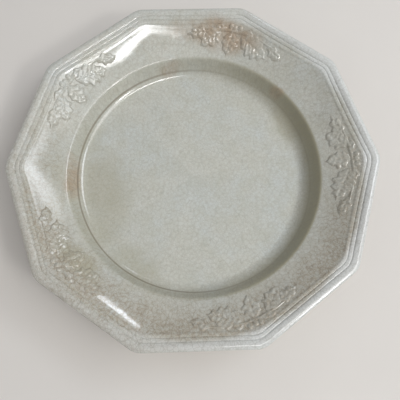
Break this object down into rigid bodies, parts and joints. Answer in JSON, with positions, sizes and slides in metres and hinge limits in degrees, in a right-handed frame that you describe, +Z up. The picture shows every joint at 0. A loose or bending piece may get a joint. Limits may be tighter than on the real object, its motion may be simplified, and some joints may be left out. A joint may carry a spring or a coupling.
{
  "type": "dinner plate",
  "caption": "Ten-sided china dinner plate with a round well, a reeded edge, leaf sprays moulded on alternate corners of the rim, and a foot ring.",
  "frame": {"origin": "centre of the foot ring's standing face, on the table under the middle of the plate", "axes": "+Z up out of the well; +X through a corner that carries a leaf spray; +Y through the middle of a side"},
  "size_m": [0.2614, 0.25, 0.038],
  "materials": {
    "glaze": "glossy clear glaze over a grey-white body, finely crazed and stained brown",
    "relief_glaze": "the same glaze, thinner on the raised veins and pooled in the hollows",
    "foot_glaze": "the same glaze, worn matt where the foot stands"
  },
  "bodies": {
    "root": {"plate_body": "glaze", "foot_ring": "foot_glaze", "leaf_spray_1": "relief_glaze", "leaf_spray_2": "relief_glaze", "leaf_spray_3": "relief_glaze", "leaf_spray_4": "relief_glaze", "leaf_spray_5": "relief_glaze"}
  },
  "joints": []
}
